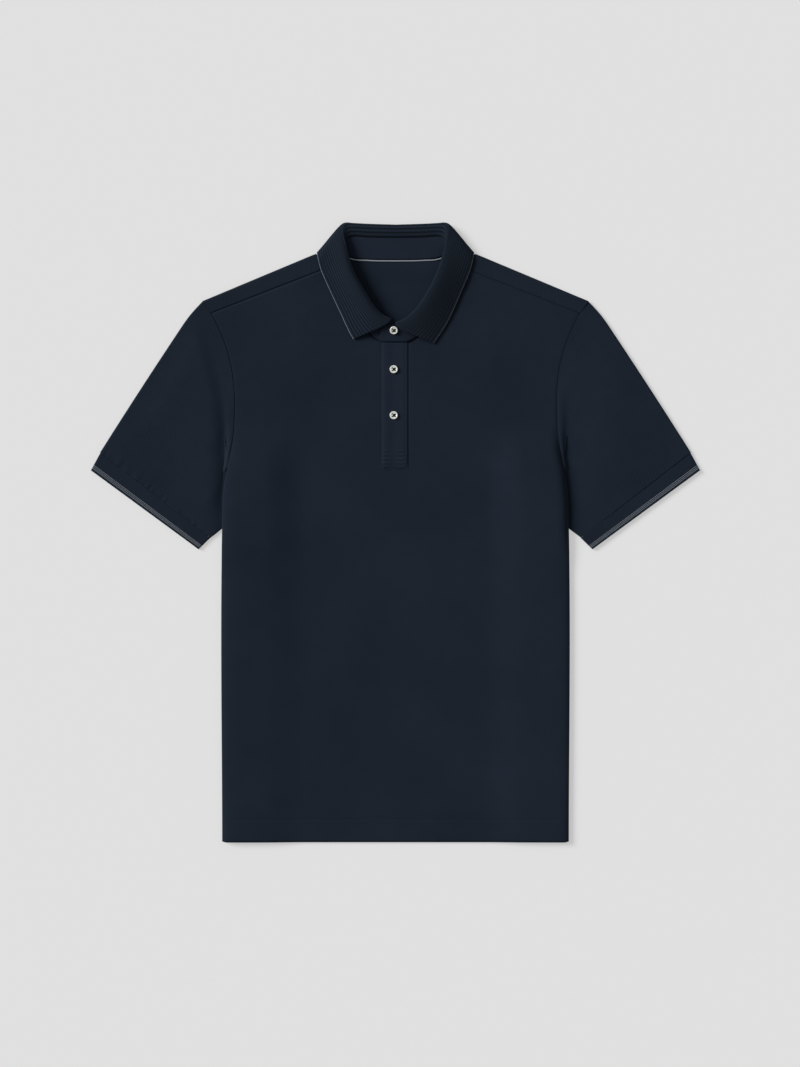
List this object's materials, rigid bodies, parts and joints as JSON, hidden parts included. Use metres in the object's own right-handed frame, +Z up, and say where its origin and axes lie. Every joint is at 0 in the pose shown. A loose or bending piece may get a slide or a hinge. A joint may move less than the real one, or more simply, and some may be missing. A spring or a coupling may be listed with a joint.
{
  "type": "polo shirt",
  "caption": "Short-sleeved pique polo shirt laid flat and buttoned, with a tipped rib collar and cuffs, a buttoned placket and its sides folded under.",
  "frame": {"origin": "on the surface that the shirt lies on, under the middle of its plan outline", "axes": "+Z up out of the shirt's front, +Y from the hem to the collar, +X to the wearer's left sleeve"},
  "size_m": [0.7296, 0.7427, 0.0166],
  "materials": {
    "body_knit": "matte navy pique knit",
    "rib_knit": "matte navy rib knit with light grey tipping",
    "piping": "light grey twill tape",
    "button_shell": "polished off-white"
  },
  "bodies": {
    "root": {"front_panel": "body_knit", "back_panel": "body_knit", "sleeve_left": "body_knit", "sleeve_right": "body_knit", "cuff_left": "rib_knit", "cuff_right": "rib_knit", "collar_leaf": "rib_knit", "collar_stand": "body_knit", "neck_piping": "piping", "placket_under": "body_knit", "placket_upper": "body_knit", "button_1": "button_shell", "button_2": "button_shell", "button_3": "button_shell"}
  },
  "joints": []
}
